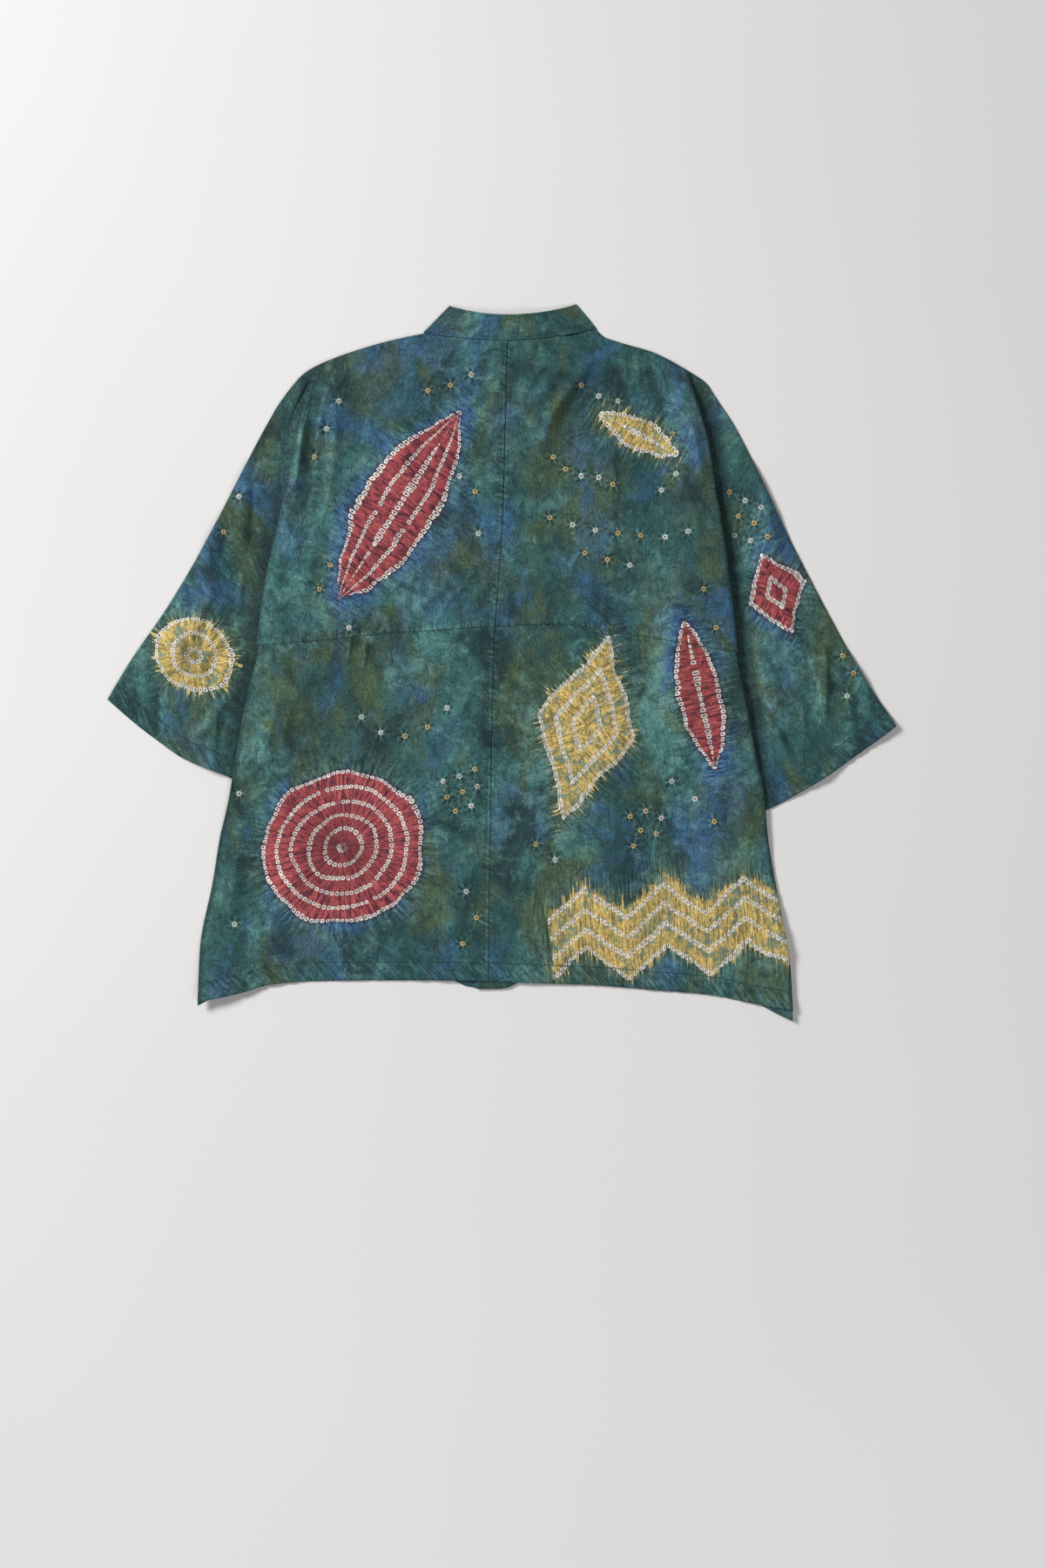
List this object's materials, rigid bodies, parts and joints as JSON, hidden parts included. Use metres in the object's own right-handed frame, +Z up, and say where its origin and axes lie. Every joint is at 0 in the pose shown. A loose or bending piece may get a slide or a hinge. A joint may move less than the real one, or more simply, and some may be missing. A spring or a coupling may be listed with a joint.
{
  "type": "silk shirt laid flat",
  "caption": "Oversized silk shirt with cut-on wide sleeves and a stand collar, laid flat on its front with both body sides folded over the sleeves.",
  "frame": {"origin": "centre of the shirt's outline on the surface that it lies on", "axes": "+X to the right seen from above with the collar at the top (the wearer's right), +Y towards the collar, +Z up from the surface"},
  "size_m": [0.905, 0.8229, 0.0123],
  "materials": {
    "dyed_silk": "matt crepe silk, mottled resist dye in blue, teal and olive with brick red and ochre figures",
    "dyed_silk_front": "the same silk, plain dyed",
    "collar_silk": "the same silk over a thin interfacing, edge stitched",
    "buttons": "polished dark shell"
  },
  "bodies": {
    "root": {"back_upper_left": "dyed_silk", "back_upper_right": "dyed_silk", "back_lower_left": "dyed_silk", "back_lower_right": "dyed_silk", "front_left": "dyed_silk_front", "front_right": "dyed_silk_front", "collar_stand": "collar_silk", "button_1": "buttons", "button_2": "buttons", "button_3": "buttons", "button_4": "buttons", "button_5": "buttons", "button_6": "buttons", "button_7": "buttons"}
  },
  "joints": []
}
